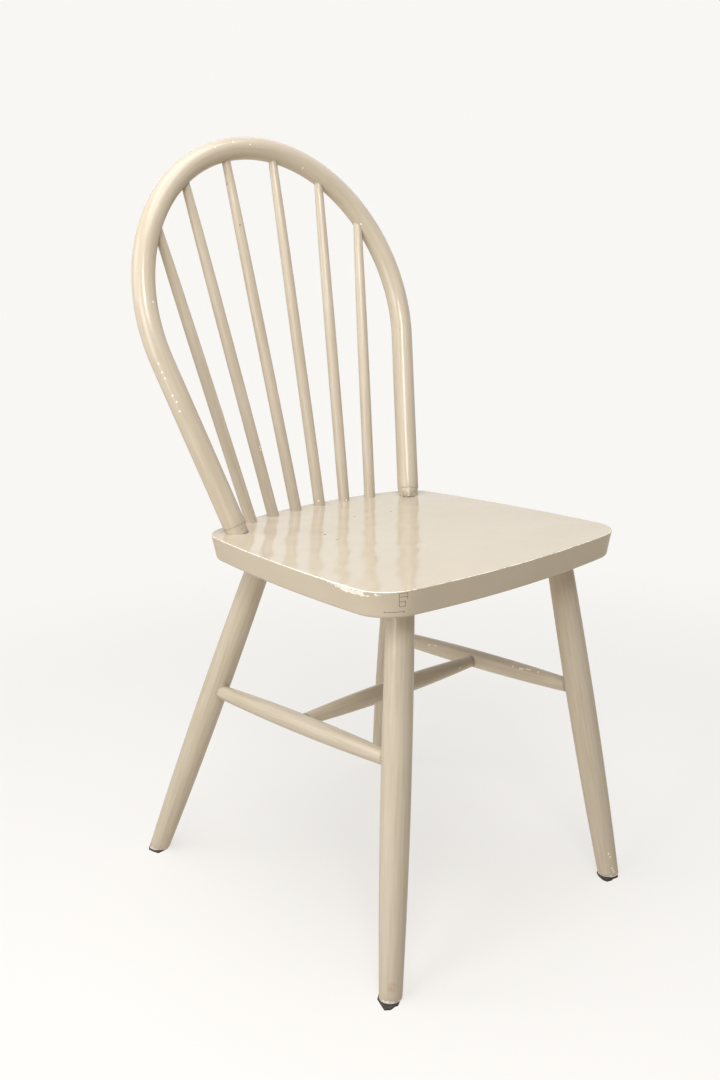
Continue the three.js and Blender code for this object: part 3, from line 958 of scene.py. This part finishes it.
def wallGlow(f, direction, room, wall):
    # bright towards the wall behind the chair, dull towards the room
    unit = f.node("ShaderNodeVectorMath", {"operation": "NORMALIZE"}, {0: direction})
    settings = {"operation": "DOT_PRODUCT"}
    facing = f.node("ShaderNodeVectorMath", settings, {0: unit, 1: studio["forward"]})
    return f.mix(f.ease(facing.of("Value"), *studio["turn"]), room, wall)


def lightRoom():
    world = bpy.data.worlds.new("studio")
    bpy.context.scene.world = world
    world.use_nodes = True
    f = Finish(world.node_tree)
    direction = f.node("ShaderNodeTexCoord").of("Generated")
    light = wallGlow(f, direction, studio["roomLight"], studio["wallLight"])
    gleam = wallGlow(f, direction, studio["roomGleam"], studio["wallGleam"])
    ray = f.node("ShaderNodeLightPath")
    colour = f.mix(ray.of("Is Glossy Ray"), light, gleam)
    colour = f.mix(ray.of("Is Camera Ray"), colour, studio["backdrop"])
    glow = f.node("ShaderNodeBackground", {}, {"Color": colour, "Strength": 1.0})
    f.node("ShaderNodeOutputWorld", {}, {"Surface": glow})

    for name, (place, width, height, power) in studio["lights"].items():
        clearSelection()
        bpy.ops.object.light_add(type="AREA", location=place)
        lamp = bpy.context.object
        lamp.name = name
        lamp.data.shape = "RECTANGLE"
        lamp.data.size = width
        lamp.data.size_y = height
        lamp.data.energy = power
        aim = Vector(studio["aim"]) - Vector(place)
        lamp.rotation_euler = aim.to_track_quat("-Z", "Y").to_euler()
        lamp.visible_camera = False


def layFloor():
    clearSelection()
    bpy.ops.mesh.primitive_circle_add(vertices=96, radius=studio["reach"], fill_type="NGON",
                                      location=(0, 0, 0))
    ground = bpy.context.object
    ground.name = "studio_floor"
    material = bpy.data.materials.new("pale_floor")
    material.use_nodes = True
    f = Finish(material.node_tree)
    place = f.node("ShaderNodeTexCoord").of("Object")
    away = f.node("ShaderNodeVectorMath", {"operation": "LENGTH"}, {0: place}).of("Value")
    matt = f.node("ShaderNodeBsdfDiffuse", {}, {"Color": studio["floor"]})
    glow = f.node("ShaderNodeEmission", {}, {"Color": studio["backdrop"], "Strength": 1.0})
    share = f.ease(away, *studio["floorFade"], studio["floorGlow"], 1)
    seen = f.node("ShaderNodeMixShader", {}, {0: share, 1: matt, 2: glow})
    bounce = f.node("ShaderNodeEmission", {}, {"Color": studio["floorGleam"], "Strength": 1.0})
    ray = f.node("ShaderNodeLightPath").of("Is Camera Ray")
    blend = f.node("ShaderNodeMixShader", {}, {0: ray, 1: bounce, 2: seen})
    f.node("ShaderNodeOutputMaterial", {}, {"Surface": blend})
    ground.data.materials.append(material)
    ground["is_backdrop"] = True


lightRoom()
layFloor()
print("studio: floor, backdrop and soft lights")


view = {
    "azimuth": math.radians(-39.74),
    "elevation": math.radians(14.584),
    "roll": math.radians(-1.756),
    "lens": 39.248,
    "place": (-0.89406, -1.05025, 0.78917),
}


def setCamera():
    a, e = view["azimuth"], view["elevation"]
    back = Vector((math.sin(a) * math.cos(e), -math.cos(a) * math.cos(e), math.sin(e)))
    right = Vector((0, 0, 1)).cross(back).normalized()
    up = back.cross(right)
    c, s = math.cos(view["roll"]), math.sin(view["roll"])
    turned = Matrix((right * c + up * s, up * c - right * s, back)).transposed()
    lens = bpy.data.cameras.new("chair_view")
    lens.lens = view["lens"]
    lens.sensor_width = 36
    lens.clip_end = 60
    camera = bpy.data.objects.new("chair_view", lens)
    bpy.context.scene.collection.objects.link(camera)
    camera.matrix_world = Matrix.Translation(view["place"]) @ turned.to_4x4()
    bpy.context.scene.camera = camera


setCamera()
bpy.context.scene.view_settings.view_transform = "Standard"
print("camera: set")

low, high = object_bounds()
